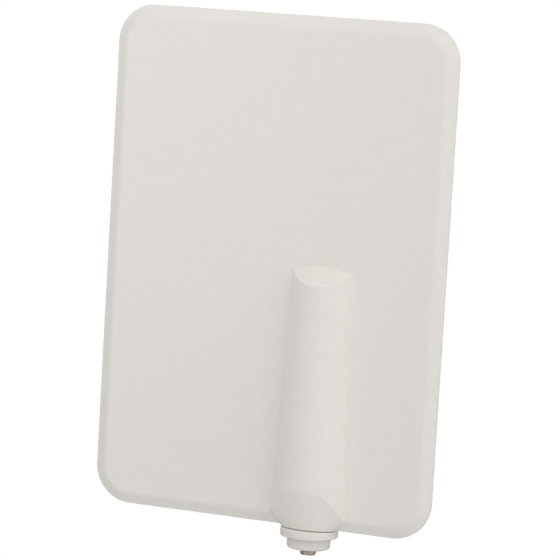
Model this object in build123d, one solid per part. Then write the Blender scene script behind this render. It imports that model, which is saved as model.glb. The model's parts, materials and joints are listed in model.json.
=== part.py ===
"""Flat indoor antenna: a bevelled paddle panel with a tapered stem and a coax jack in a stepped spigot.

Frame: X to the right, front towards -Y, +Z up. The origin is on the stem's axis, at the shoulder
where the spigot leaves the collar. Y = 0 is the parting plane between the two covers. Millimetres.
"""

import os
from math import radians, sin, sqrt, tan

from build123d import *

# Panel
PANEL_WIDTH = 200.0
PANEL_HEIGHT = 280.0
PANEL_THICKNESS = 8.0
PANEL_CORNER_RADIUS = 21.0
RIM_THICKNESS = 3.0
BEVEL_WIDTH = 6.0
BEVEL_ROUNDING = 6.0
RIM_ROUNDING = 0.6
PARTING_CHAMFER = 0.25
PANEL_WALL = 1.8
PERIMETER_LAND = 5.0
STEM_OFFSET = 30.2

# Tongue on the rear cover and groove in the front cover, along the perimeter
TONGUE_INSET = 2.2
TONGUE_WIDTH = 1.1
TONGUE_HEIGHT = 1.0
TONGUE_CLEARANCE = 0.15
TONGUE_STEM_GAP = 6.0

# Stiffening ribs inside both covers
RIB_PITCH = 44.0
RIB_THICKNESS = 1.0
RIB_CLEARANCE = 0.2
RIB_END_GAP = 1.5

# Stem: a taper bowed to the front and to the rear of the parting plane
STEM_DROP = 0.25
STEM_LENGTH = 144.85
STEM_WALL = 2.0
STEM_END_HALF_WIDTH = 24.6
STEM_END_HALF_DEPTH = 17.0
STEM_TOP_HALF_WIDTH = 19.6
STEM_TOP_HALF_DEPTH = 12.5
STEM_TOP_ARC_RADIUS = 55.5
STEM_TOP_SLOPE = 41.0
STEM_TOP_ROUNDING = 0.8
STEM_END_WALL = 2.5

# Foot of the stem: an oval at its end, opening upwards into a flat gable with a round ridge
FOOT_HALF_WIDTH = 16.6
FOOT_HALF_DEPTH = 11.6
FOOT_RIDGE_ANGLE = 57.0
FOOT_HEIGHT = 23.15
GABLE_HALF_WIDTH = 55.0
GABLE_SLOPE = 18.4
GABLE_RIDGE_RADIUS = 33.5
FOOT_ARCH_ROUNDING = 2.0
FOOT_EDGE_ROUNDING = 0.5

# Collar held between the covers, with a shadow gap under the stem
FLANGE_RADIUS = 16.0
FLANGE_HEIGHT = 4.5
FLANGE_ROUNDING = 1.0
SHADOW_GAP = 0.35
SPIGOT_RADIUS = 12.0
SPIGOT_LENGTH = 6.6
SPIGOT_ROUNDING = 1.6
COLLAR_SEAT_RADIUS = 12.4
COLLAR_SEAT_HALF_DEPTH = 8.4
COLLAR_NECK_RADIUS = 10.0
COLLAR_NECK_HALF_DEPTH = 7.2
COLLAR_RETAINER_SIDE_GAP = 2.0
COLLAR_RETAINER_FRONT_GAP = 1.8
COLLAR_RETAINER_HEIGHT = 2.5
COLLAR_CLEARANCE = 0.1

# Coax jack
JACK_RADIUS = 4.75
JACK_PROTRUSION = 3.7
JACK_TIP_CHAMFER = 0.9
JACK_FLANGE_ACROSS_FLATS = 11.1
JACK_FLANGE_HEIGHT = 2.0
JACK_TAIL = 5.0
JACK_CLEARANCE = 0.1
JACK_NUT_ACROSS_FLATS = 12.7
JACK_NUT_HEIGHT = 2.5
JACK_WASHER_RADIUS = 6.8
JACK_WASHER_HEIGHT = 0.8
INSULATOR_RADIUS = 3.2
INSULATOR_RECESS = 0.4
INSULATOR_CLEARANCE = 0.05
CONTACT_RADIUS = 1.0
CONTACT_BORE_RADIUS = 0.55
CONTACT_BORE_DEPTH = 11.0
CONTACT_COVER = 1.2
CONTACT_ENTRY_RADIUS = 0.7

# Radiator sheets
SHEET_THICKNESS = 0.5
SHEET_MARGIN = 3.0
SHEET_CORNER_RADIUS = 4.0
FEED_GAP = 8.0
FEED_TAB_DEPTH = 19.0
STEM_SLOT_HALF_WIDTH = 26.0

# Heat-staked posts that carry the sheets
POST_RADIUS = 3.0
POST_INSET = 14.0
POST_ROW_INSET = 30.0
STAKE_RADIUS = 1.2
STAKE_CLEARANCE = 0.15
STAKE_HEAD_RADIUS = 2.2
STAKE_HEAD_HEIGHT = 0.8

# Self-tapping screws
SCREW_RADIUS = 1.1
SCREW_HEAD_RADIUS = 2.0
SCREW_HEAD_HEIGHT = 1.5
SCREW_CLEARANCE = 0.15
SCREW_PILOT_CLEARANCE = 0.05
SCREW_TIP_CLEARANCE = 0.3
SCREW_CROSS_WIDTH = 0.7
SCREW_CROSS_LENGTH = 2.4
SCREW_CROSS_DEPTH = 0.7
BOSS_RADIUS = 3.0
BOSS_CLEARANCE = 0.8
CASE_SCREW_INSET = 17.0
CASE_SCREW_RECESS = 1.9
CASE_SCREW_SKIN = 1.0
STEM_SCREW_OFFSET = 32.0

# Matching board in the stem
BOARD_WIDTH = 28.0
BOARD_HEIGHT = 46.0
BOARD_THICKNESS = 1.6
BOARD_FRONT = 2.4
BOARD_TAB_GAP = 21.5
BOARD_SCREW_INSET = 5.0
BOARD_SCREW_LENGTH = 5.0
BOARD_CORNER_RADIUS = 1.0

# Two-hole ferrite core on the board, and its winding
CORE_WIDTH = 7.0
CORE_DEPTH = 4.2
CORE_LENGTH = 6.2
CORE_HOLE_RADIUS = 0.85
CORE_HOLE_SPACING = 2.9
CORE_TOP_INSET = 15.0
WINDING_RADIUS = 0.6
WINDING_OVERHANG = 1.0
WINDING_BEND = 1.3

# Chip capacitors on the board
CAPACITOR_WIDTH = 3.2
CAPACITOR_LENGTH = 1.6
CAPACITOR_HEIGHT = 1.2
CAPACITOR_OFFSET = 7.0
CAPACITOR_BOTTOM_INSET = 22.0

# Saddle clip that holds the coax on the board
CLIP_THICKNESS = 0.4
CLIP_WIDTH = 4.0
CLIP_FOOT = 1.6
CLIP_BOTTOM_INSET = 4.0

# Leads held inside
LEAD_SEAT_GAP = 0.05
FEED_LEAD_RADIUS = 0.6
FEED_LEAD_OFFSET = 5.5
FEED_LEAD_OVERLAP = 8.0
FEED_LEAD_STRAIGHT = 4.0
FEED_LEAD_BEND = 25.0
COAX_RADIUS = 1.4
COAX_OVERLAP = 12.0
COAX_STRAIGHT = 8.0
COAX_BEND_LENGTH = 18.0
COAX_BEND = 60.0

# Worked out from the sizes above
HALF_THICKNESS = PANEL_THICKNESS / 2
HALF_RIM = RIM_THICKNESS / 2
CAVITY_DEPTH = HALF_THICKNESS - PANEL_WALL
STEM_END = FLANGE_HEIGHT + SHADOW_GAP
STEM_TOP = STEM_END + STEM_LENGTH
PANEL_BOTTOM = STEM_END + STEM_DROP
PANEL_TOP = PANEL_BOTTOM + PANEL_HEIGHT
PANEL_CENTRE_X = -STEM_OFFSET
PANEL_CENTRE_Z = (PANEL_BOTTOM + PANEL_TOP) / 2
PANEL_LEFT = PANEL_CENTRE_X - PANEL_WIDTH / 2
PANEL_RIGHT = PANEL_CENTRE_X + PANEL_WIDTH / 2
BEYOND = PANEL_WIDTH + PANEL_HEIGHT
RETAINER_RADIUS = FOOT_HALF_WIDTH - STEM_WALL - COLLAR_RETAINER_SIDE_GAP
RETAINER_HALF_DEPTH = FOOT_HALF_DEPTH - STEM_WALL - COLLAR_RETAINER_FRONT_GAP
NECK_TOP = STEM_END + STEM_END_WALL + COLLAR_CLEARANCE
COLLAR_TOP = NECK_TOP + COLLAR_RETAINER_HEIGHT
JACK_TIP = -SPIGOT_LENGTH - JACK_PROTRUSION
JACK_SEAT = -SPIGOT_LENGTH + JACK_FLANGE_HEIGHT
JACK_TOP = COLLAR_TOP + JACK_TAIL
WASHER_TOP = COLLAR_TOP + JACK_WASHER_HEIGHT
NUT_TOP = WASHER_TOP + JACK_NUT_HEIGHT
INSULATOR_TIP = JACK_TIP + INSULATOR_RECESS
CONTACT_TIP = INSULATOR_TIP + CONTACT_COVER
COAX_SEAT = NUT_TOP
SHEET_FRONT = -SHEET_THICKNESS / 2
SHEET_BACK = SHEET_THICKNESS / 2
SHEET_EDGE = PERIMETER_LAND + SHEET_MARGIN
SHEET_LEFT = PANEL_LEFT + SHEET_EDGE
SHEET_RIGHT = PANEL_RIGHT - SHEET_EDGE
SHEET_BOTTOM = PANEL_BOTTOM + SHEET_EDGE
SHEET_TOP = PANEL_TOP - SHEET_EDGE
FEED_TAB_BOTTOM = STEM_TOP - FEED_TAB_DEPTH
SCREW_SEAT = HALF_THICKNESS - CASE_SCREW_RECESS
CASE_PILOT_END = CASE_SCREW_SKIN - HALF_THICKNESS
BOARD_BACK = BOARD_FRONT + BOARD_THICKNESS
BOARD_TOP = FEED_TAB_BOTTOM - BOARD_TAB_GAP
BOARD_BOTTOM = BOARD_TOP - BOARD_HEIGHT
BOARD_PILOT_END = BOARD_FRONT + BOARD_SCREW_LENGTH + SCREW_TIP_CLEARANCE
COAX_ON_BOARD = BOARD_FRONT - COAX_RADIUS - LEAD_SEAT_GAP

POST_ROWS = (SHEET_BOTTOM + POST_ROW_INSET, PANEL_CENTRE_Z, SHEET_TOP - POST_ROW_INSET)
LEFT_POST_COLUMNS = (SHEET_LEFT + POST_INSET, -STEM_SLOT_HALF_WIDTH - POST_INSET)
LEFT_POSTS = [(x, z) for x in LEFT_POST_COLUMNS for z in POST_ROWS]
RIGHT_POSTS = [(SHEET_RIGHT - POST_INSET, z) for z in POST_ROWS]
RIGHT_POSTS.append((FEED_GAP / 2 + POST_INSET, POST_ROWS[-1]))
CASE_SCREW_COLUMNS = (PANEL_LEFT + CASE_SCREW_INSET, PANEL_RIGHT - CASE_SCREW_INSET)
CASE_SCREW_ROWS = (PANEL_BOTTOM + CASE_SCREW_INSET, PANEL_TOP - CASE_SCREW_INSET)
CASE_SCREWS = [(x, z) for x in CASE_SCREW_COLUMNS for z in CASE_SCREW_ROWS]
CASE_SCREWS += [(x, CASE_SCREW_ROWS[0]) for x in (-STEM_SCREW_OFFSET, STEM_SCREW_OFFSET)]
BOARD_SCREWS = [
    (-BOARD_WIDTH / 2 + BOARD_SCREW_INSET, BOARD_BOTTOM + BOARD_SCREW_INSET),
    (BOARD_WIDTH / 2 - BOARD_SCREW_INSET, BOARD_TOP - BOARD_SCREW_INSET),
]
BASE_ALIGN = (Align.CENTER, Align.CENTER, Align.MIN)
SEAM_TOLERANCE = 0.01


def facing_front(x, y, z):
    """Plane across the panel at a point, drawn in X and Z and filled towards the front."""
    return Plane(origin=(x, y, z), x_dir=(1, 0, 0), z_dir=(0, -1, 0))


def slab(sketch, back, front):
    """Sketch drawn in X and Z, filled along Y from back to front."""
    return extrude(facing_front(0, back, 0) * sketch, back - front)


def rod(point, radius, back, front):
    """Round bar along Y from back to front, at a point of the panel."""
    return slab(Pos(*point) * Circle(radius), back, front)


def disc(radius, bottom, top):
    """Round piece about the stem's axis."""
    return extrude(Plane.XY.offset(bottom) * Circle(radius), top - bottom)


def hexagon(across_flats, bottom, top):
    """Hexagonal bar along the stem's axis."""
    section = RegularPolygon(across_flats / 2, 6, major_radius=False)
    return extrude(Plane.XY.offset(bottom) * section, top - bottom)


def rectangle(left, right, bottom, top):
    """Rectangle in X and Z from its edges."""
    return Pos((left + right) / 2, (bottom + top) / 2) * Rectangle(right - left, top - bottom)


def discs(points, radius):
    """Sketch of equal circles at points of the panel."""
    return Sketch() + [Pos(*point) * Circle(radius) for point in points]


def mirrored(half):
    """The same half on the other side of the parting plane."""
    return mirror(half, about=Plane.XZ)


def panel_outline(inset):
    """Round-cornered outline of the panel, moved inwards."""
    width = PANEL_WIDTH - 2 * inset
    height = PANEL_HEIGHT - 2 * inset
    outline = RectangleRounded(width, height, PANEL_CORNER_RADIUS - inset)
    return Pos(PANEL_CENTRE_X, PANEL_CENTRE_Z) * outline


def half_panel():
    """Front half of the panel: a thin rim, a broad soft bevel up to the face and a fine parting groove."""
    half = slab(panel_outline(0), 0, -HALF_THICKNESS)
    face = half.faces().sort_by(Axis.Y)[0]
    half = chamfer(face.edges(), BEVEL_WIDTH, HALF_THICKNESS - HALF_RIM, reference=face)
    half = fillet(half.faces().sort_by(Axis.Y)[0].edges(), BEVEL_ROUNDING)
    half = fillet(half.edges().filter_by_position(Axis.Y, -HALF_RIM, -HALF_RIM), RIM_ROUNDING)
    return chamfer(half.faces().sort_by(Axis.Y)[-1].edges(), PARTING_CHAMFER)


def from_end(end, top, height):
    """Straight form up the stem, from a section at its lower end to one at a height above it."""
    return loft([Plane.XY.offset(STEM_END) * end, Plane.XY.offset(STEM_END + height) * top], ruled=True)


def bow(half_width, depth, inset):
    """Half section of the stem: a round arc in front of the parting plane, moved inwards."""
    radius = (half_width**2 + depth**2) / (2 * depth)
    half_width = sqrt((radius - inset) ** 2 - (radius - depth) ** 2)
    arc = ThreePointArc((-half_width, 0), (0, inset - depth), (half_width, 0))
    return make_face([arc, Line(arc @ 1, arc @ 0)])


def stem_taper(inset):
    """Bowed taper of the stem, wide and deep at the foot and slim at the top."""
    end = bow(STEM_END_HALF_WIDTH, STEM_END_HALF_DEPTH, inset)
    return from_end(end, bow(STEM_TOP_HALF_WIDTH, STEM_TOP_HALF_DEPTH, inset), STEM_LENGTH)


def half_oval(inset):
    """Half section at the foot's end, split where the sides pass into the ridge."""
    half_width = FOOT_HALF_WIDTH - inset
    half_depth = FOOT_HALF_DEPTH - inset
    side = FOOT_RIDGE_ANGLE
    left = EllipticalCenterArc((0, 0), half_width, half_depth, 180, arc_size=side)
    ridge = EllipticalCenterArc((0, 0), half_width, half_depth, 180 + side, arc_size=180 - 2 * side)
    right = EllipticalCenterArc((0, 0), half_width, half_depth, 360 - side, arc_size=side)
    return make_face([left, ridge, right, Line(right @ 1, left @ 0)])


def gable(inset):
    """Half section at the top of the foot: straight sides that meet in a round ridge."""
    half_width = GABLE_HALF_WIDTH - inset / sin(radians(GABLE_SLOPE))
    depth = half_width * tan(radians(GABLE_SLOPE))
    section = make_face(Polyline((-half_width, 0), (0, -depth), (half_width, 0), close=True))
    return fillet(section.vertices().sort_by(Axis.Y)[0], GABLE_RIDGE_RADIUS - inset)


def stem_foot(inset):
    """Flare from an oval to a gable, which goes on upwards: the flare leaves an arched edge on the taper."""
    foot = from_end(half_oval(inset), gable(inset), FOOT_HEIGHT)
    return foot + extrude(Plane.XY.offset(STEM_END + FOOT_HEIGHT) * gable(inset), STEM_LENGTH)


def stem_crown(inset):
    """Space under the sloped top: a cone square to the panel, and all below its centre."""
    run = 1 / tan(radians(STEM_TOP_SLOPE))
    arc_centre = STEM_TOP - STEM_TOP_ARC_RADIUS
    base_radius = STEM_TOP_ARC_RADIUS + HALF_THICKNESS * run - inset * (1 + run**2) ** 0.5
    depth = STEM_END_HALF_DEPTH
    cone = Cone(base_radius, base_radius - depth * run, depth, align=BASE_ALIGN)
    below = slab(rectangle(-BEYOND, BEYOND, -BEYOND, arc_centre), 0, -BEYOND)
    return facing_front(0, 0, arc_centre) * cone + below


def half_stem(inset):
    """Front half of the stem: what its taper, foot and crown share."""
    return stem_taper(inset) & stem_foot(inset) & stem_crown(inset)


def seam(half, first, second):
    """Edges of a half, in front of the panel's face, along which the skins of two forms meet."""
    edges = half.edges().filter_by_position(Axis.Y, -BEYOND, -HALF_THICKNESS - SEAM_TOLERANCE)
    edges = edges.filter_by_position(Axis.Z, STEM_END + SEAM_TOLERANCE, BEYOND)
    skins = (first.shell(), second.shell())
    return [edge for edge in edges if all(skin.distance_to(edge @ 0.5) < SEAM_TOLERANCE for skin in skins)]


def rounded_half_stem():
    """Half stem with the edges of its top, its arch and its lower end softened."""
    half = half_stem(0)
    half = fillet(seam(half, stem_taper(0), stem_foot(0)), FOOT_ARCH_ROUNDING)
    half = fillet(seam(half, stem_taper(0), stem_crown(0)), STEM_TOP_ROUNDING)
    end = half.faces().sort_by(Axis.Z)[0].edges()
    return fillet(end.filter_by_position(Axis.Y, -BEYOND, -SEAM_TOLERANCE), FOOT_EDGE_ROUNDING)


def flatted(radius, half_depth, bottom, top):
    """Round piece about the stem's axis with a flat in front and one behind."""
    section = Circle(radius) & Rectangle(2 * radius, 2 * half_depth)
    return extrude(Plane.XY.offset(bottom) * section, top - bottom)


def collar_neck(clearance, bottom, top):
    """Neck of the collar, which the covers' end walls close around."""
    return flatted(COLLAR_NECK_RADIUS + clearance, COLLAR_NECK_HALF_DEPTH + clearance, bottom, top)


def half_cavity():
    """Hollow of one cover: flat behind the face, and bulging into the stem above its end wall."""
    stem_space = half_stem(STEM_WALL)
    stem_space -= slab(rectangle(-BEYOND, BEYOND, -BEYOND, STEM_END + STEM_END_WALL), BEYOND, -BEYOND)
    return slab(panel_outline(PERIMETER_LAND), 0, -CAVITY_DEPTH) + stem_space


def rib_lines(centre, low, high):
    """Evenly spaced rib positions about a centre, between two limits."""
    count = int((high - low) / RIB_PITCH)
    first = centre - RIB_PITCH * (count - 1) / 2
    return [first + RIB_PITCH * index for index in range(count)]


def half_ribs():
    """Lattice of low ribs that stop short of the stem, the posts and the screw bosses."""
    half = RIB_THICKNESS / 2
    lattice = Sketch()
    for x in rib_lines(PANEL_CENTRE_X, SHEET_LEFT, SHEET_RIGHT):
        lattice += rectangle(x - half, x + half, PANEL_BOTTOM, PANEL_TOP)
    for z in rib_lines(PANEL_CENTRE_Z, SHEET_BOTTOM, SHEET_TOP):
        lattice += rectangle(PANEL_LEFT, PANEL_RIGHT, z - half, z + half)
    lattice &= panel_outline(PERIMETER_LAND)
    lattice -= rectangle(-STEM_SLOT_HALF_WIDTH, STEM_SLOT_HALF_WIDTH, -BEYOND, STEM_TOP + RIB_END_GAP)
    lattice -= discs(LEFT_POSTS + RIGHT_POSTS, POST_RADIUS + RIB_END_GAP)
    return slab(lattice, SHEET_FRONT - RIB_CLEARANCE, -CAVITY_DEPTH)


def half_cover():
    """What both covers share: half panel and half stem, hollowed, ribbed and notched for the collar."""
    shell = half_panel() + rounded_half_stem()
    shell -= half_cavity()
    shell -= collar_neck(COLLAR_CLEARANCE, STEM_END - STEM_DROP, STEM_END + STEM_END_WALL)
    return shell + half_ribs()


def tongue(clearance):
    """Raised rim along the parting line, left out across the stem."""
    ring = panel_outline(TONGUE_INSET - clearance) - panel_outline(TONGUE_INSET + TONGUE_WIDTH + clearance)
    reach = FOOT_HALF_WIDTH + TONGUE_STEM_GAP - clearance
    ring -= rectangle(-reach, reach, PANEL_BOTTOM, PANEL_CENTRE_Z)
    return slab(ring, 0, -TONGUE_HEIGHT - clearance)


def front_cover():
    """Front half shell with the groove and the blind screw bosses."""
    cover = half_cover() - tongue(TONGUE_CLEARANCE)
    for point in CASE_SCREWS:
        cover += rod(point, BOSS_RADIUS, 0, -CAVITY_DEPTH)
    for point in CASE_SCREWS:
        cover -= rod(point, SCREW_RADIUS + SCREW_PILOT_CLEARANCE, 0, CASE_PILOT_END)
    return cover


def stake(point):
    """Post with a staked pin that holds a sheet."""
    post = rod(point, POST_RADIUS, CAVITY_DEPTH, SHEET_BACK)
    pin = rod(point, STAKE_RADIUS, SHEET_BACK, SHEET_FRONT)
    head = Cone(STAKE_HEAD_RADIUS, STAKE_RADIUS, STAKE_HEAD_HEIGHT, align=BASE_ALIGN)
    return post + pin + facing_front(point[0], SHEET_FRONT, point[1]) * head


def board_boss(point):
    """Boss from the stem's rear wall to the back of the board."""
    reach = rod(point, BOSS_RADIUS, STEM_END_HALF_DEPTH, BOARD_BACK)
    return reach & mirrored(half_stem(STEM_WALL / 2))


def rear_cover():
    """Rear half shell with the tongue, the sheet posts, the board bosses and the recessed screw holes."""
    cover = mirrored(half_cover()) + tongue(0)
    for point in LEFT_POSTS + RIGHT_POSTS:
        cover += stake(point)
    for point in CASE_SCREWS:
        cover += rod(point, BOSS_RADIUS, CAVITY_DEPTH, 0)
    for point in CASE_SCREWS:
        cover -= rod(point, SCREW_RADIUS + SCREW_CLEARANCE, HALF_THICKNESS, 0)
        cover -= rod(point, SCREW_HEAD_RADIUS + SCREW_CLEARANCE, HALF_THICKNESS, SCREW_SEAT)
    for point in BOARD_SCREWS:
        cover += board_boss(point)
    for point in BOARD_SCREWS:
        cover -= rod(point, SCREW_RADIUS + SCREW_PILOT_CLEARANCE, BOARD_PILOT_END, BOARD_BACK)
    return cover


def connector_collar():
    """Stepped collar: flange, spigot, flatted neck and retainer, bored for the jack."""
    spigot = disc(SPIGOT_RADIUS, -SPIGOT_LENGTH, 0)
    spigot = fillet(spigot.edges().sort_by(Axis.Z)[0], SPIGOT_ROUNDING)
    flange = disc(FLANGE_RADIUS, 0, FLANGE_HEIGHT)
    flange = fillet(flange.edges().sort_by(Axis.Z)[0], FLANGE_ROUNDING)
    flange = fillet(flange.edges().sort_by(Axis.Z)[-1], FOOT_EDGE_ROUNDING)
    collar = spigot + flange + flatted(COLLAR_SEAT_RADIUS, COLLAR_SEAT_HALF_DEPTH, FLANGE_HEIGHT, STEM_END)
    collar += collar_neck(0, STEM_END, NECK_TOP)
    collar += flatted(RETAINER_RADIUS, RETAINER_HALF_DEPTH, NECK_TOP, COLLAR_TOP)
    collar -= disc(JACK_RADIUS + JACK_CLEARANCE, -SPIGOT_LENGTH, COLLAR_TOP)
    return collar - hexagon(JACK_FLANGE_ACROSS_FLATS + 2 * JACK_CLEARANCE, -SPIGOT_LENGTH, JACK_SEAT)


def connector_barrel():
    """Jack body: round barrel with a hexagonal flange, open at the tip and sleeved for the coax."""
    barrel = disc(JACK_RADIUS, JACK_TIP, JACK_TOP)
    barrel = chamfer(barrel.edges().sort_by(Axis.Z)[0], JACK_TIP_CHAMFER)
    barrel += hexagon(JACK_FLANGE_ACROSS_FLATS, -SPIGOT_LENGTH, JACK_SEAT)
    barrel -= disc(INSULATOR_RADIUS + INSULATOR_CLEARANCE, JACK_TIP, COAX_SEAT)
    return barrel - disc(COAX_RADIUS + INSULATOR_CLEARANCE, COAX_SEAT, JACK_TOP)


def connector_washer():
    """Plain washer under the jack's nut."""
    washer = disc(JACK_WASHER_RADIUS, COLLAR_TOP, WASHER_TOP)
    return washer - disc(JACK_RADIUS + JACK_CLEARANCE, COLLAR_TOP, WASHER_TOP)


def connector_nut():
    """Hexagonal nut that clamps the jack in the collar."""
    nut = hexagon(JACK_NUT_ACROSS_FLATS, WASHER_TOP, NUT_TOP)
    return nut - disc(JACK_RADIUS + JACK_CLEARANCE, WASHER_TOP, NUT_TOP)


def connector_insulator():
    """Insulating bush in the barrel, with an entry hole in front of the contact."""
    bush = disc(INSULATOR_RADIUS, INSULATOR_TIP, COAX_SEAT)
    bush -= disc(CONTACT_ENTRY_RADIUS, INSULATOR_TIP, CONTACT_TIP)
    return bush - disc(CONTACT_RADIUS + INSULATOR_CLEARANCE, CONTACT_TIP, COAX_SEAT)


def connector_contact():
    """Centre contact, bored from the tip for the plug's wire."""
    contact = disc(CONTACT_RADIUS, CONTACT_TIP, COAX_SEAT)
    return contact - disc(CONTACT_BORE_RADIUS, CONTACT_TIP, CONTACT_TIP + CONTACT_BORE_DEPTH)


def sheet(outline, posts):
    """Stamped sheet within the panel, with rounded corners at the stem, stake holes and boss holes."""
    reach = STEM_SLOT_HALF_WIDTH
    stem_corners = outline.vertices().filter_by_position(Axis.X, -reach, reach)
    outline = fillet(stem_corners, SHEET_CORNER_RADIUS) & panel_outline(SHEET_EDGE)
    outline -= discs(posts, STAKE_RADIUS + STAKE_CLEARANCE)
    outline -= discs(CASE_SCREWS, BOSS_RADIUS + BOSS_CLEARANCE)
    return slab(outline, SHEET_BACK, SHEET_FRONT)


def left_radiator():
    """Sheet left of the feed gap, cut back beside the stem."""
    outline = rectangle(SHEET_LEFT, -FEED_GAP / 2, SHEET_BOTTOM, SHEET_TOP)
    outline -= rectangle(-STEM_SLOT_HALF_WIDTH, 0, SHEET_BOTTOM, FEED_TAB_BOTTOM)
    return sheet(outline, LEFT_POSTS)


def right_radiator():
    """Sheet right of the feed gap, cut back beside the stem."""
    outline = rectangle(FEED_GAP / 2, SHEET_RIGHT, SHEET_BOTTOM, SHEET_TOP)
    outline -= rectangle(0, STEM_SLOT_HALF_WIDTH, SHEET_BOTTOM, FEED_TAB_BOTTOM)
    return sheet(outline, RIGHT_POSTS)


def screw(point, seat, length, towards_rear):
    """Pan-head screw with a cross recess, its head on the seat."""
    way = -1 if towards_rear else 1
    head_end = seat + way * SCREW_HEAD_HEIGHT
    tip = seat - way * length
    head = rod(point, SCREW_HEAD_RADIUS, max(seat, head_end), min(seat, head_end))
    shank = rod(point, SCREW_RADIUS, max(seat, tip), min(seat, tip))
    bar = Rectangle(SCREW_CROSS_LENGTH, SCREW_CROSS_WIDTH)
    cross = bar + Rot(0, 0, 90) * bar
    recess_end = head_end - way * SCREW_CROSS_DEPTH
    recess = slab(Pos(*point) * cross, max(head_end, recess_end), min(head_end, recess_end))
    return head + shank - recess


def case_screws():
    """Screws from the rear cover into the front cover's bosses."""
    length = SCREW_SEAT - CASE_PILOT_END - SCREW_TIP_CLEARANCE
    return [screw(point, SCREW_SEAT, length, False) for point in CASE_SCREWS]


def board_screws():
    """Screws through the board into the rear cover's bosses."""
    return [screw(point, BOARD_FRONT, BOARD_SCREW_LENGTH, True) for point in BOARD_SCREWS]


def matching_board():
    """Circuit board behind the parting plane, inside the stem."""
    outline = RectangleRounded(BOARD_WIDTH, BOARD_HEIGHT, BOARD_CORNER_RADIUS)
    outline = Pos(0, (BOARD_BOTTOM + BOARD_TOP) / 2) * outline
    outline -= discs(BOARD_SCREWS, SCREW_RADIUS + SCREW_CLEARANCE)
    return slab(outline, BOARD_BACK, BOARD_FRONT)


def core_frame():
    """Plane across the ferrite core's holes, at the core's lower end."""
    return Plane(origin=(0, BOARD_FRONT - CORE_DEPTH / 2, BOARD_TOP - CORE_TOP_INSET - CORE_LENGTH))


def balun_core():
    """Ferrite block with rounded sides and two holes."""
    holes = GridLocations(CORE_HOLE_SPACING, 0, 2, 1) * Circle(CORE_HOLE_RADIUS)
    section = SlotOverall(CORE_WIDTH, CORE_DEPTH) - holes
    return extrude(core_frame() * section, CORE_LENGTH)


def balun_winding():
    """Bundle of turns through both holes of the core."""
    centre = core_frame().origin + Vector(0, 0, CORE_LENGTH / 2)
    loop = RectangleRounded(CORE_HOLE_SPACING, CORE_LENGTH + 2 * WINDING_OVERHANG, WINDING_BEND)
    path = (facing_front(*centre) * loop).wire()
    section = Plane(origin=path @ 0, z_dir=path % 0) * Circle(WINDING_RADIUS)
    return sweep(section, path)


def board_capacitors():
    """Pair of chip capacitors between the core and the coax."""
    outline = Pos(0, BOARD_BOTTOM + CAPACITOR_BOTTOM_INSET) * Rectangle(CAPACITOR_WIDTH, CAPACITOR_LENGTH)
    capacitor = slab(outline, BOARD_FRONT, BOARD_FRONT - CAPACITOR_HEIGHT)
    return [Pos(-CAPACITOR_OFFSET, 0, 0) * capacitor, Pos(CAPACITOR_OFFSET, 0, 0) * capacitor]


def coax_clip():
    """Bent strip over the coax, with a foot on the board at each side."""
    inner = COAX_RADIUS + LEAD_SEAT_GAP
    outer = inner + CLIP_THICKNESS
    foot = BOARD_FRONT - CLIP_THICKNESS / 2
    centre = Pos(0, COAX_ON_BOARD)
    legs = Pos(0, COAX_ON_BOARD + inner / 2)
    arch = centre * Circle(outer) + legs * Rectangle(2 * outer, inner)
    arch += Pos(0, foot) * Rectangle(2 * (outer + CLIP_FOOT), CLIP_THICKNESS)
    tunnel = centre * Circle(inner) + legs * Rectangle(2 * inner, inner)
    below_board = Pos(0, BOARD_FRONT - BEYOND / 2) * Rectangle(BEYOND, BEYOND)
    section = (arch - tunnel) & below_board
    return extrude(Plane.XY.offset(BOARD_BOTTOM + CLIP_BOTTOM_INSET) * section, CLIP_WIDTH)


def lead(points, radius, bend):
    """Round lead along straight runs joined by arcs."""
    path = FilletPolyline(*points, radius=bend)
    return sweep(Plane(origin=path @ 0, z_dir=path % 0) * Circle(radius), path)


def feed_lead(x):
    """Lead from the board's front up to a sheet's feed tab."""
    on_board = BOARD_FRONT - FEED_LEAD_RADIUS - LEAD_SEAT_GAP
    on_sheet = SHEET_FRONT - FEED_LEAD_RADIUS - LEAD_SEAT_GAP
    points = [
        (x, on_board, BOARD_TOP - FEED_LEAD_OVERLAP),
        (x, on_board, BOARD_TOP + FEED_LEAD_STRAIGHT),
        (x, on_sheet, FEED_TAB_BOTTOM - FEED_LEAD_STRAIGHT),
        (x, on_sheet, FEED_TAB_BOTTOM + FEED_LEAD_OVERLAP),
    ]
    return lead(points, FEED_LEAD_RADIUS, FEED_LEAD_BEND)


def coax_lead():
    """Coax from the board's front down into the jack."""
    bend_top = BOARD_BOTTOM - COAX_STRAIGHT
    points = [
        (0, COAX_ON_BOARD, BOARD_BOTTOM + COAX_OVERLAP),
        (0, COAX_ON_BOARD, bend_top),
        (0, 0, bend_top - COAX_BEND_LENGTH),
        (0, 0, COAX_SEAT),
    ]
    return lead(points, COAX_RADIUS, COAX_BEND)


NODES = {
    "front_cover": front_cover(),
    "rear_cover": rear_cover(),
    "connector_collar": connector_collar(),
    "connector_barrel": connector_barrel(),
    "connector_washer": connector_washer(),
    "connector_nut": connector_nut(),
    "connector_insulator": connector_insulator(),
    "connector_contact": connector_contact(),
    "left_radiator": left_radiator(),
    "right_radiator": right_radiator(),
    "matching_board": matching_board(),
    "balun_core": balun_core(),
    "balun_winding": balun_winding(),
    "board_capacitors": Compound(children=board_capacitors()),
    "coax_clip": coax_clip(),
    "left_feed_lead": feed_lead(-FEED_LEAD_OFFSET),
    "right_feed_lead": feed_lead(FEED_LEAD_OFFSET),
    "coax_lead": coax_lead(),
    "board_screws": Compound(children=board_screws()),
    "case_screws": Compound(children=case_screws()),
}

os.makedirs("parts", exist_ok=True)
for name, solid in NODES.items():
    export_step(solid, f"parts/{name}.step")
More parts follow.
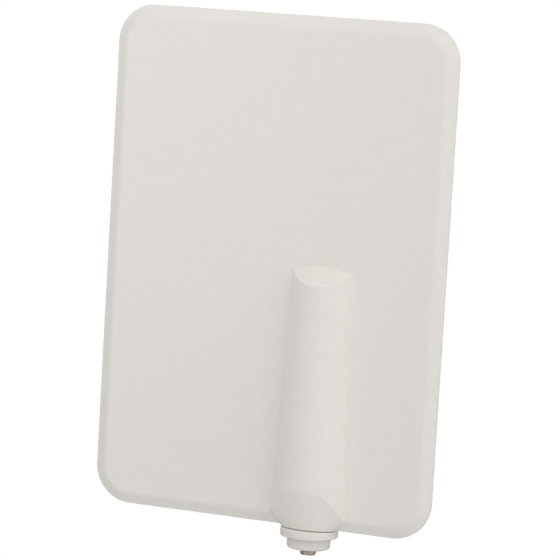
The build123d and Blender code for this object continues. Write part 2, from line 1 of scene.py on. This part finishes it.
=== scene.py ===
"""Looks of the flat indoor antenna: finishes, the jack's thread, studio light and the photo's camera."""

import json
import math

import bpy
from mathutils import Matrix, Vector


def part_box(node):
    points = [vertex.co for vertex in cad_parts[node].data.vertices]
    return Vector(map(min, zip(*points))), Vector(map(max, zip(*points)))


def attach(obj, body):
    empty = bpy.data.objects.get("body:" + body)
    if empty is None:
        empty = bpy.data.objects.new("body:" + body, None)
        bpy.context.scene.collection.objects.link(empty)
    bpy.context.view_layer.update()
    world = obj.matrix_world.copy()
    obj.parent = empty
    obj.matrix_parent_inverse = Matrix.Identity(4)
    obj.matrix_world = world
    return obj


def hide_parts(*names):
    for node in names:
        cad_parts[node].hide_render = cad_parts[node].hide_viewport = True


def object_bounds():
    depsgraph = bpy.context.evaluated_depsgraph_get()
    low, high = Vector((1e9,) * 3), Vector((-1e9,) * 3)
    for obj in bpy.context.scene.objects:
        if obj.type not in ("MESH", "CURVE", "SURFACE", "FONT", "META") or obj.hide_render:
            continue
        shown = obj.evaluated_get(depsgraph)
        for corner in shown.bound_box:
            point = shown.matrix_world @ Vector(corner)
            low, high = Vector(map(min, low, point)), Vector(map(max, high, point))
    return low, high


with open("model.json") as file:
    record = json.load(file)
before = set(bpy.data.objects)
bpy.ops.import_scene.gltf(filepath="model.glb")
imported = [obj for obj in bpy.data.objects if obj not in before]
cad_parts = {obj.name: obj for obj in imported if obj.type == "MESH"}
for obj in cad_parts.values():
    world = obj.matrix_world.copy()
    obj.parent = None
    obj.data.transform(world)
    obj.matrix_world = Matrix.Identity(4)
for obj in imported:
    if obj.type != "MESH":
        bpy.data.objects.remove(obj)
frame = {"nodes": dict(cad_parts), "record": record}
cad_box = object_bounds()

# Units: a millimetre in metres, and an inch in millimetres
MM = 0.001
INCH = 25.4

WHITE = (1.0, 1.0, 1.0, 1.0)
BLACK = (0.0, 0.0, 0.0, 1.0)

# Camera of the photograph: angles in degrees, places in metres, lens and sensor in millimetres
CAMERA_YAW = 21.8614
CAMERA_PITCH = 6.4678
CAMERA_ROLL = 3.3787
CAMERA_DISTANCE = 1.72509
CAMERA_TARGET = Vector((-0.026731, 0.0015, 0.139343))
CAMERA_LENS = 201.84
CAMERA_SENSOR = 36.0

# Studio: each light's name, its azimuth and elevation seen from the panel in degrees,
# its distance, width and height in metres, and its power in watts
LIGHTS = (
    ("key", -25.0, 25.0, 1.0, 0.8, 1.4, 6.5),
    ("side", 75.0, 10.0, 2.0, 1.6, 3.4, 23.0),
    ("high", 75.0, 50.0, 2.0, 1.6, 1.6, 8.5),
    ("low", 0.0, -76.0, 2.0, 1.6, 2.2, 8.5),
    ("fill", 20.0, -35.0, 2.0, 1.6, 1.6, 4.2),
    ("left", -80.0, 0.0, 2.0, 1.6, 1.6, 1.6),
    ("rear_key", -155.0, 25.0, 1.0, 0.8, 1.4, 6.9),
    ("rear_side", 150.0, 15.0, 2.0, 1.6, 1.6, 10.0),
)
WORLD_STRENGTH = 0.243
FLOOR_DROP = 0.25
FLOOR_SIZE = 80.0

# Parts of the noise's range that are spread over a finish's roughness and over the housing's tones
ROUGHNESS_SPAN = (0.3, 0.7)
TONE_SPAN = (0.35, 0.65)

# Covers: dark and light tone, smooth and rough, sizes of the grain and the mottle, depth of the grain
COVER_TONES = ((0.789, 0.759, 0.719, 1.0), (0.806, 0.776, 0.736, 1.0))
COVER_ROUGHNESS = (0.5, 0.6)
COVER_GRAIN = 0.25 * MM
COVER_MOTTLE = 4 * MM
COVER_RELIEF = 0.01 * MM

# Specks in the covers: spacing, size and the share of the places that have one
SPECK_COLOUR = (0.50, 0.47, 0.43, 1.0)
SPECK_PITCH = 38 * MM
SPECK_RADIUS = 0.22 * MM
SPECK_SHARE = 0.4

# Collar
COLLAR_TONES = ((0.775, 0.725, 0.695, 1.0), (0.79, 0.74, 0.71, 1.0))
COLLAR_ROUGHNESS = (0.38, 0.46)
COLLAR_GRAIN = 0.5 * MM
COLLAR_CLOUDS = 9 * MM
COLLAR_RELIEF = 0.004 * MM

# Plating of the jack, drawn out round the barrel
PLATING_TONES = ((0.80, 0.74, 0.65, 1.0), (0.93, 0.88, 0.79, 1.0))
# Painted shade: the colour that the thread's roots are drawn in, darker than the crests
PLATING_ROOT_SHADE = (0.52, 0.46, 0.37, 1.0)
PLATING_ROUGHNESS = (0.2, 0.28)
PLATING_STREAKS = 0.6 * MM
PLATING_STRETCH = (0.2, 0.2, 1.0)
PLATING_RELIEF = 0.002 * MM

# Zinc on the steel pieces
ZINC_TONES = ((0.55, 0.55, 0.57, 1.0), (0.67, 0.67, 0.68, 1.0))
ZINC_ROUGHNESS = (0.28, 0.42)
ZINC_SPANGLE = 0.7 * MM
ZINC_GRAIN = 0.15 * MM
ZINC_RELIEF = 0.005 * MM

# Insulator of the jack
INSULATOR_TONES = ((0.84, 0.84, 0.80, 1.0), (0.92, 0.92, 0.89, 1.0))
INSULATOR_ROUGHNESS = (0.22, 0.36)
INSULATOR_MARKS = 0.2 * MM
INSULATOR_RELIEF = 0.004 * MM

# Rolled sheet of the radiators, with lines drawn out along the roll
SHEET_TONES = ((0.72, 0.72, 0.74, 1.0), (0.84, 0.84, 0.86, 1.0))
SHEET_ROUGHNESS = (0.25, 0.4)
SHEET_LINES = 0.4 * MM
SHEET_STRETCH = (1.0, 1.0, 0.01)
SHEET_RELIEF = 0.006 * MM

# Board: solder mask over the weave, and tracks that stand up under it
MASK_TONES = ((0.03, 0.17, 0.07, 1.0), (0.045, 0.22, 0.09, 1.0))
MASK_ROUGHNESS = (0.3, 0.4)
WEAVE_SIZE = 0.5 * MM
TRACK_COLOUR = (0.10, 0.34, 0.14, 1.0)
TRACK_WIDTH = 0.35 * MM
TRACK_SPACING_X = 9 * MM
TRACK_SPACING_Z = 5 * MM
TRACK_RELIEF = 0.03 * MM

# Ferrite core
FERRITE_TONES = ((0.03, 0.03, 0.034, 1.0), (0.075, 0.075, 0.08, 1.0))
FERRITE_ROUGHNESS = (0.55, 0.75)
FERRITE_GRAIN = 0.12 * MM
FERRITE_RELIEF = 0.03 * MM

# Enamelled wire: the ridges are smoother than the grooves
COPPER_TONES = ((0.42, 0.17, 0.08, 1.0), (0.70, 0.33, 0.17, 1.0))
COPPER_ROUGHNESS = (0.38, 0.24)
STRAND_PITCH = 1.2 * MM
STRAND_RELIEF = 0.04 * MM

# Chip capacitors: whole width, and the part between the tinned ends
CAPACITOR_WIDTH = 3.2 * MM
CAPACITOR_BODY = 2.0 * MM
CERAMIC_TONES = ((0.44, 0.33, 0.21, 1.0), (0.55, 0.43, 0.29, 1.0))
CERAMIC_ROUGHNESS = (0.35, 0.5)
CERAMIC_GRAIN = 0.1 * MM
CERAMIC_RELIEF = 0.006 * MM
TINNED_COLOUR = (0.72, 0.72, 0.71, 1.0)

# Insulation of the leads, with its grain drawn out upwards
JACKET_TONES = ((0.012, 0.012, 0.013, 1.0), (0.03, 0.03, 0.03, 1.0))
JACKET_ROUGHNESS = (0.4, 0.55)
JACKET_GRAIN = 0.3 * MM
JACKET_STRETCH = (1.0, 1.0, 0.15)
JACKET_RELIEF = 0.01 * MM

# Jack: thread, with the flats on its crests and roots as a share of the pitch, and hexagon on the barrel.
# Edges that turn by more than the sharp angle, in degrees, aren't smoothed
THREADS_PER_INCH = 32
THREAD_PITCH = INCH / THREADS_PER_INCH * MM
THREAD_DEPTH = 0.45 * MM
THREAD_FLAT = 0.15
THREAD_STEPS = 8
THREAD_SIDES = 96
TIP_CHAMFER = 0.9 * MM
HEX_HEIGHT = 2.0 * MM
HEX_EDGE = 0.15 * MM
BORE_CLEARANCE = 0.05 * MM
SHARP_ANGLE = 35

# Socket numbers of a colour mix node
MIX_FACTOR, MIX_A, MIX_B, MIX_RESULT = 0, 6, 7, 2


class Finish:
    """Node material under construction, with the frame's own coordinates in metres."""

    def __init__(self, name, constants):
        self.material = bpy.data.materials.new(name)
        self.material.use_nodes = True
        self.tree = self.material.node_tree
        self.shader = self.tree.nodes["Principled BSDF"]
        self.place = self.node("ShaderNodeTexCoord").outputs["Object"]
        for socket, value in constants.items():
            self.shader.inputs[socket].default_value = value

    def node(self, kind, inputs=None, **settings):
        """New node with its settings, and its inputs set to values or linked to outputs."""
        made = self.tree.nodes.new(kind)
        for key, value in settings.items():
            setattr(made, key, value)
        for key, value in (inputs or {}).items():
            if isinstance(value, bpy.types.NodeSocket):
                self.tree.links.new(value, made.inputs[key])
            else:
                made.inputs[key].default_value = value
        return made

    def stretched(self, scale):
        """Coordinates multiplied along each axis."""
        return self.node("ShaderNodeMapping", {"Vector": self.place, "Scale": scale}).outputs["Vector"]

    def noise(self, size, detail=2.0, roughness=0.5, place=None):
        """Soft noise from 0 to 1 with features of a size in metres."""
        inputs = {"Vector": place or self.place, "Scale": 1 / size, "Detail": detail, "Roughness": roughness}
        return self.node("ShaderNodeTexNoise", inputs).outputs["Fac"]

    def span(self, value, low, high, start=0.0, end=1.0):
        """Value from low to high, brought to start to end."""
        inputs = {"Value": value, "From Min": low, "From Max": high, "To Min": start, "To Max": end}
        return self.node("ShaderNodeMapRange", inputs).outputs["Result"]

    def maths(self, operation, first, second=0.0):
        """One sum on two values."""
        return self.node("ShaderNodeMath", {0: first, 1: second}, operation=operation).outputs[0]

    def mix(self, factor, first, second):
        """Colour between two colours."""
        inputs = {MIX_FACTOR: factor, MIX_A: first, MIX_B: second}
        return self.node("ShaderNodeMix", inputs, data_type="RGBA").outputs[MIX_RESULT]

    def axes(self):
        """The three coordinates, each by its letter."""
        return self.node("ShaderNodeSeparateXYZ", {"Vector": self.place}).outputs

    def drive(self, socket, value):
        """Link a value to the shader."""
        self.tree.links.new(value, self.shader.inputs[socket])

    def roughen(self, noise, limits):
        """Roughness that follows a noise between two limits."""
        self.drive("Roughness", self.span(noise, *ROUGHNESS_SPAN, *limits))

    def bump(self, height, depth):
        """Fine relief of a depth in metres."""
        relief = self.node("ShaderNodeBump", {"Height": height, "Distance": depth})
        self.drive("Normal", relief.outputs["Normal"])


def mount_radius(name):
    """Radius of one of the record's mounts, in metres."""
    mount = next(mount for mount in frame["record"]["mounts"] if mount["name"] == name)
    return mount["dims"]["r_mm"] * MM


def specks(finish):
    """1 in a few small round spots on the panel's face and back, and 0 elsewhere."""
    axes = finish.axes()
    across = finish.node("ShaderNodeCombineXYZ", {"X": axes["X"], "Y": axes["Z"]})
    cells = finish.node(
        "ShaderNodeTexVoronoi",
        {"Vector": across.outputs["Vector"], "Scale": 1 / SPECK_PITCH},
        voronoi_dimensions="2D",
    )
    near = finish.maths("LESS_THAN", cells.outputs["Distance"], SPECK_RADIUS / SPECK_PITCH)
    draw = finish.node("ShaderNodeSeparateColor", {"Color": cells.outputs["Color"]}).outputs["Red"]
    return finish.maths("MULTIPLY", near, finish.maths("LESS_THAN", draw, SPECK_SHARE))


def cover_plastic():
    """Off-white moulded plastic: fine satin grain, a faint mottle and a few dark specks."""
    finish = Finish("cover_plastic", {"Specular IOR Level": 0.35})
    grain = finish.noise(COVER_GRAIN, detail=3.0)
    mottle = finish.noise(COVER_MOTTLE, detail=4.0, roughness=0.7)
    tone = finish.mix(finish.span(mottle, *TONE_SPAN), *COVER_TONES)
    finish.drive("Base Color", finish.mix(specks(finish), tone, SPECK_COLOUR))
    finish.roughen(grain, COVER_ROUGHNESS)
    finish.bump(grain, COVER_RELIEF)
    return finish.material


def collar_plastic():
    """Like the covers' plastic, off a polished mould: pinker, smoother and a little glossier."""
    finish = Finish("collar_plastic", {"Specular IOR Level": 0.4})
    grain = finish.noise(COLLAR_GRAIN)
    clouds = finish.noise(COLLAR_CLOUDS)
    finish.drive("Base Color", finish.mix(finish.span(clouds, *TONE_SPAN), *COLLAR_TONES))
    finish.roughen(grain, COLLAR_ROUGHNESS)
    finish.bump(grain, COLLAR_RELIEF)
    return finish.material


def jack_metal():
    """Plated turned brass with painted shade darkening the roots of the thread, lightly streaked round the
    barrel.
    """
    finish = Finish("jack_metal", {"Metallic": 1.0})
    axes = finish.axes()
    squares = [finish.maths("MULTIPLY", axes[axis], axes[axis]) for axis in "XY"]
    radius = finish.maths("SQRT", finish.maths("ADD", *squares))
    crest = mount_radius("coax_port")
    # Painted shade: the base colour darkens from the thread's crests down into its roots
    root_shade = finish.span(radius, crest - THREAD_DEPTH, crest)
    streaks = finish.noise(PLATING_STREAKS, detail=3.0, place=finish.stretched(PLATING_STRETCH))
    plating = finish.mix(streaks, *PLATING_TONES)
    finish.drive("Base Color", finish.mix(root_shade, PLATING_ROOT_SHADE, plating))
    finish.roughen(streaks, PLATING_ROUGHNESS)
    finish.bump(streaks, PLATING_RELIEF)
    return finish.material


def steel():
    """Zinc-plated steel with a faint spangle."""
    finish = Finish("steel", {"Metallic": 1.0})
    cells = finish.node("ShaderNodeTexVoronoi", {"Vector": finish.place, "Scale": 1 / ZINC_SPANGLE})
    spangle = finish.node("ShaderNodeSeparateColor", {"Color": cells.outputs["Color"]}).outputs["Red"]
    finish.drive("Base Color", finish.mix(spangle, *ZINC_TONES))
    finish.drive("Roughness", finish.span(spangle, 0.0, 1.0, *ZINC_ROUGHNESS))
    finish.bump(finish.noise(ZINC_GRAIN), ZINC_RELIEF)
    return finish.material


def insulator_plastic():
    """White insulating plastic with fine tool marks."""
    finish = Finish("insulator_plastic", {"Specular IOR Level": 0.5})
    marks = finish.noise(INSULATOR_MARKS)
    finish.drive("Base Color", finish.mix(marks, *INSULATOR_TONES))
    finish.roughen(marks, INSULATOR_ROUGHNESS)
    finish.bump(marks, INSULATOR_RELIEF)
    return finish.material


def sheet_metal():
    """Rolled sheet with fine lines along the roll."""
    finish = Finish("sheet_metal", {"Metallic": 1.0, "Anisotropic": 0.4})
    lines = finish.noise(SHEET_LINES, detail=3.0, place=finish.stretched(SHEET_STRETCH))
    finish.drive("Base Color", finish.mix(lines, *SHEET_TONES))
    finish.roughen(lines, SHEET_ROUGHNESS)
    finish.bump(lines, SHEET_RELIEF)
    return finish.material


def board_laminate():
    """Green solder mask over tracks that show as paler, slightly raised bands."""
    finish = Finish("board_laminate", {"Specular IOR Level": 0.5})
    upright = {"Vector": finish.place, "Rotation": (math.pi / 2, 0, 0)}
    bricks = {
        "Vector": finish.node("ShaderNodeMapping", upright).outputs["Vector"],
        "Scale": 1.0,
        "Mortar Size": TRACK_WIDTH,
        "Brick Width": TRACK_SPACING_X,
        "Row Height": TRACK_SPACING_Z,
    }
    tracks = finish.node("ShaderNodeTexBrick", bricks).outputs["Fac"]
    weave = finish.noise(WEAVE_SIZE, detail=1.0)
    mask = finish.mix(weave, *MASK_TONES)
    finish.drive("Base Color", finish.mix(tracks, mask, TRACK_COLOUR))
    finish.roughen(weave, MASK_ROUGHNESS)
    finish.bump(tracks, TRACK_RELIEF)
    return finish.material


def ferrite():
    """Dark sintered ferrite with a granular surface."""
    finish = Finish("ferrite", {"Specular IOR Level": 0.45})
    grains = finish.noise(FERRITE_GRAIN, detail=4.0)
    finish.drive("Base Color", finish.mix(grains, *FERRITE_TONES))
    finish.roughen(grains, FERRITE_ROUGHNESS)
    finish.bump(grains, FERRITE_RELIEF)
    return finish.material


def copper_wire():
    """Enamelled copper, with the strands of the bundle as fine ridges."""
    finish = Finish("copper_wire", {"Metallic": 1.0, "Coat Weight": 0.4, "Coat Roughness": 0.1})
    waves = {"Vector": finish.place, "Scale": 1 / STRAND_PITCH, "Distortion": 1.5, "Detail": 2.0}
    strands = finish.node("ShaderNodeTexWave", waves).outputs["Fac"]
    finish.drive("Base Color", finish.mix(strands, *COPPER_TONES))
    finish.drive("Roughness", finish.span(strands, 0.0, 1.0, *COPPER_ROUGHNESS))
    finish.bump(strands, STRAND_RELIEF)
    return finish.material


def capacitor_ceramic():
    """Tan ceramic chips with tinned ends, one each side of the board's middle."""
    finish = Finish("capacitor_ceramic", {})
    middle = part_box("board_capacitors")[1].x - CAPACITOR_WIDTH / 2
    from_middle = finish.maths("SUBTRACT", finish.maths("ABSOLUTE", finish.axes()["X"]), middle)
    cap = finish.maths("GREATER_THAN", finish.maths("ABSOLUTE", from_middle), CAPACITOR_BODY / 2)
    grain = finish.noise(CERAMIC_GRAIN)
    body = finish.mix(grain, *CERAMIC_TONES)
    finish.drive("Base Color", finish.mix(cap, body, TINNED_COLOUR))
    finish.drive("Metallic", cap)
    finish.roughen(grain, CERAMIC_ROUGHNESS)
    finish.bump(grain, CERAMIC_RELIEF)
    return finish.material


def lead_jacket():
    """Black lead insulation with a faint extruded grain."""
    finish = Finish("lead_jacket", {"Specular IOR Level": 0.45})
    grain = finish.noise(JACKET_GRAIN, place=finish.stretched(JACKET_STRETCH))
    finish.drive("Base Color", finish.mix(grain, *JACKET_TONES))
    finish.roughen(grain, JACKET_ROUGHNESS)
    finish.bump(grain, JACKET_RELIEF)
    return finish.material


def dress_nodes(finishes):
    """Each node takes the finish of its material slot."""
    for part in frame["record"]["subparts"]:
        mesh = frame["nodes"][part["node"]].data
        mesh.materials.clear()
        mesh.materials.append(finishes[part["material_slot"]])


def thread_radius(height, angle, crest):
    """Radius of a thread with flat crests and roots, rising once each turn."""
    turn = (height / THREAD_PITCH - angle / math.tau) % 1.0
    flank = abs(2 * turn - 1)
    level = min(1.0, max(0.0, (flank - THREAD_FLAT) / (1 - 2 * THREAD_FLAT)))
    return crest - THREAD_DEPTH * level


def hex_radius(angle, across_flats):
    """Distance from the axis to the side of a hexagon with corners on the X axis."""
    sector = math.pi / 3
    return across_flats / 2 / math.cos(angle % sector - sector / 2)


def heights(low, high):
    """Evenly spaced heights fine enough for the thread."""
    count = math.ceil((high - low) / THREAD_PITCH * THREAD_STEPS)
    return [low + (high - low) * step / count for step in range(count + 1)]


def ring(height, radius_at):
    """Points round the jack's axis at one height."""
    angles = [math.tau * side / THREAD_SIDES for side in range(THREAD_SIDES)]
    return [(radius_at(a) * math.cos(a), radius_at(a) * math.sin(a), height) for a in angles]


def jack_rings():
    """Rings of the jack's skin, from the tip up the outside and back down the bore."""
    tip, top = (corner.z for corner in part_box("connector_barrel"))
    across_flats = 2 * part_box("connector_barrel")[1].y
    hex_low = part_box("connector_collar")[0].z
    hex_high = hex_low + HEX_HEIGHT
    crest = mount_radius("coax_port")
    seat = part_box("connector_insulator")[1].z
    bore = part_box("connector_insulator")[1].x + BORE_CLEARANCE
    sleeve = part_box("coax_lead")[1].x + BORE_CLEARANCE

    def thread(height):
        chamfer = crest - TIP_CHAMFER + (height - tip)
        return ring(height, lambda a: min(thread_radius(height, a, crest), chamfer))

    def hexagon(height, inset):
        return ring(height, lambda a: hex_radius(a, across_flats) - inset)

    def round_ring(height, radius):
        return ring(height, lambda a: radius)

    rings = [thread(height) for height in heights(tip, hex_low)]
    rings += [hexagon(hex_low, HEX_EDGE), hexagon(hex_low + HEX_EDGE, 0)]
    rings += [hexagon(hex_high - HEX_EDGE, 0), hexagon(hex_high, HEX_EDGE)]
    rings += [thread(height) for height in heights(hex_high, top)]
    rings += [round_ring(top, sleeve), round_ring(seat, sleeve)]
    return rings + [round_ring(seat, bore), round_ring(tip, bore)]


def threaded_jack(finish):
    """Jack body with its real thread, closed from the outside round into the bore."""
    rings = jack_rings()
    points = [point for row in rings for point in row]
    faces = []
    for row in range(len(rings)):
        below = row * THREAD_SIDES
        above = (row + 1) % len(rings) * THREAD_SIDES
        for side in range(THREAD_SIDES):
            after = (side + 1) % THREAD_SIDES
            faces.append((below + side, below + after, above + after, above + side))
    mesh = bpy.data.meshes.new("threaded_jack")
    mesh.from_pydata(points, [], faces)
    mesh.materials.append(finish)
    mesh.polygons.foreach_set("use_smooth", [True] * len(mesh.polygons))
    mesh.set_sharp_from_angle(angle=math.radians(SHARP_ANGLE))
    jack = bpy.data.objects.new("threaded_jack", mesh)
    bpy.context.scene.collection.objects.link(jack)
    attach(jack, "root")
    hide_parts("connector_barrel")


def floor_white():
    """White that looks the same whatever light falls on it."""
    material = bpy.data.materials.new("floor")
    material.use_nodes = True
    shader = material.node_tree.nodes["Principled BSDF"]
    shader.inputs["Base Color"].default_value = BLACK
    shader.inputs["Specular IOR Level"].default_value = 0.0
    shader.inputs["Emission Color"].default_value = WHITE
    shader.inputs["Emission Strength"].default_value = 1.0
    return material


def floor():
    """Pale floor well below the antenna, which a base would hold up. No light comes back off it."""
    half = FLOOR_SIZE / 2
    height = cad_box[0].z - FLOOR_DROP
    corners = [(-half, -half, height), (half, -half, height), (half, half, height), (-half, half, height)]
    mesh = bpy.data.meshes.new("floor")
    mesh.from_pydata(corners, [], [(0, 1, 2, 3)])
    mesh.materials.append(floor_white())
    stage = bpy.data.objects.new("floor", mesh)
    stage.visible_diffuse = False
    stage.visible_glossy = False
    stage.visible_shadow = False
    bpy.context.scene.collection.objects.link(stage)


def light(name, azimuth, elevation, distance, width, height, power):
    """Soft box at an angle from the panel's front, turned towards it."""
    turn, rise = math.radians(azimuth), math.radians(elevation)
    away = Vector((math.sin(turn) * math.cos(rise), -math.cos(turn) * math.cos(rise), math.sin(rise)))
    data = bpy.data.lights.new(name, "AREA")
    data.shape = "RECTANGLE"
    data.size, data.size_y = width, height
    data.energy = power
    lamp = bpy.data.objects.new(name, data)
    lamp.location = CAMERA_TARGET + away * distance
    lamp.rotation_euler = away.to_track_quat("Z", "Y").to_euler()
    bpy.context.scene.collection.objects.link(lamp)


def studio():
    """Even surround that looks white and lights the object softly, and soft boxes."""
    world = bpy.data.worlds.new("studio")
    world.use_nodes = True
    tree = world.node_tree
    background = tree.nodes["Background"]
    background.inputs["Color"].default_value = WHITE
    strength = tree.nodes.new("ShaderNodeMapRange")
    strength.inputs["To Min"].default_value = WORLD_STRENGTH
    seen = tree.nodes.new("ShaderNodeLightPath").outputs["Is Camera Ray"]
    tree.links.new(seen, strength.inputs["Value"])
    tree.links.new(strength.outputs["Result"], background.inputs["Strength"])
    bpy.context.scene.world = world
    for settings in LIGHTS:
        light(*settings)


def camera():
    """The photograph's camera, fitted to the panel's edges."""
    data = bpy.data.cameras.new("camera")
    data.sensor_width = CAMERA_SENSOR
    data.lens = CAMERA_LENS
    data.clip_end = 2 * FLOOR_SIZE
    rotation = Matrix.Rotation(math.radians(CAMERA_YAW), 3, "Z")
    rotation @= Matrix.Rotation(math.radians(90 - CAMERA_PITCH), 3, "X")
    rotation @= Matrix.Rotation(math.radians(CAMERA_ROLL), 3, "Z")
    back = rotation @ Vector((0, 0, 1))
    viewer = bpy.data.objects.new("camera", data)
    place = Matrix.Translation(CAMERA_TARGET + back * CAMERA_DISTANCE)
    viewer.matrix_world = place @ rotation.to_4x4()
    bpy.context.scene.collection.objects.link(viewer)
    bpy.context.scene.camera = viewer


FINISHES = {
    "cover_plastic": cover_plastic(),
    "collar_plastic": collar_plastic(),
    "jack_metal": jack_metal(),
    "steel": steel(),
    "insulator_plastic": insulator_plastic(),
    "sheet_metal": sheet_metal(),
    "board_laminate": board_laminate(),
    "ferrite": ferrite(),
    "copper_wire": copper_wire(),
    "capacitor_ceramic": capacitor_ceramic(),
    "lead_jacket": lead_jacket(),
}

dress_nodes(FINISHES)
threaded_jack(FINISHES["jack_metal"])
floor()
studio()
camera()
bpy.context.scene.view_settings.view_transform = "Standard"
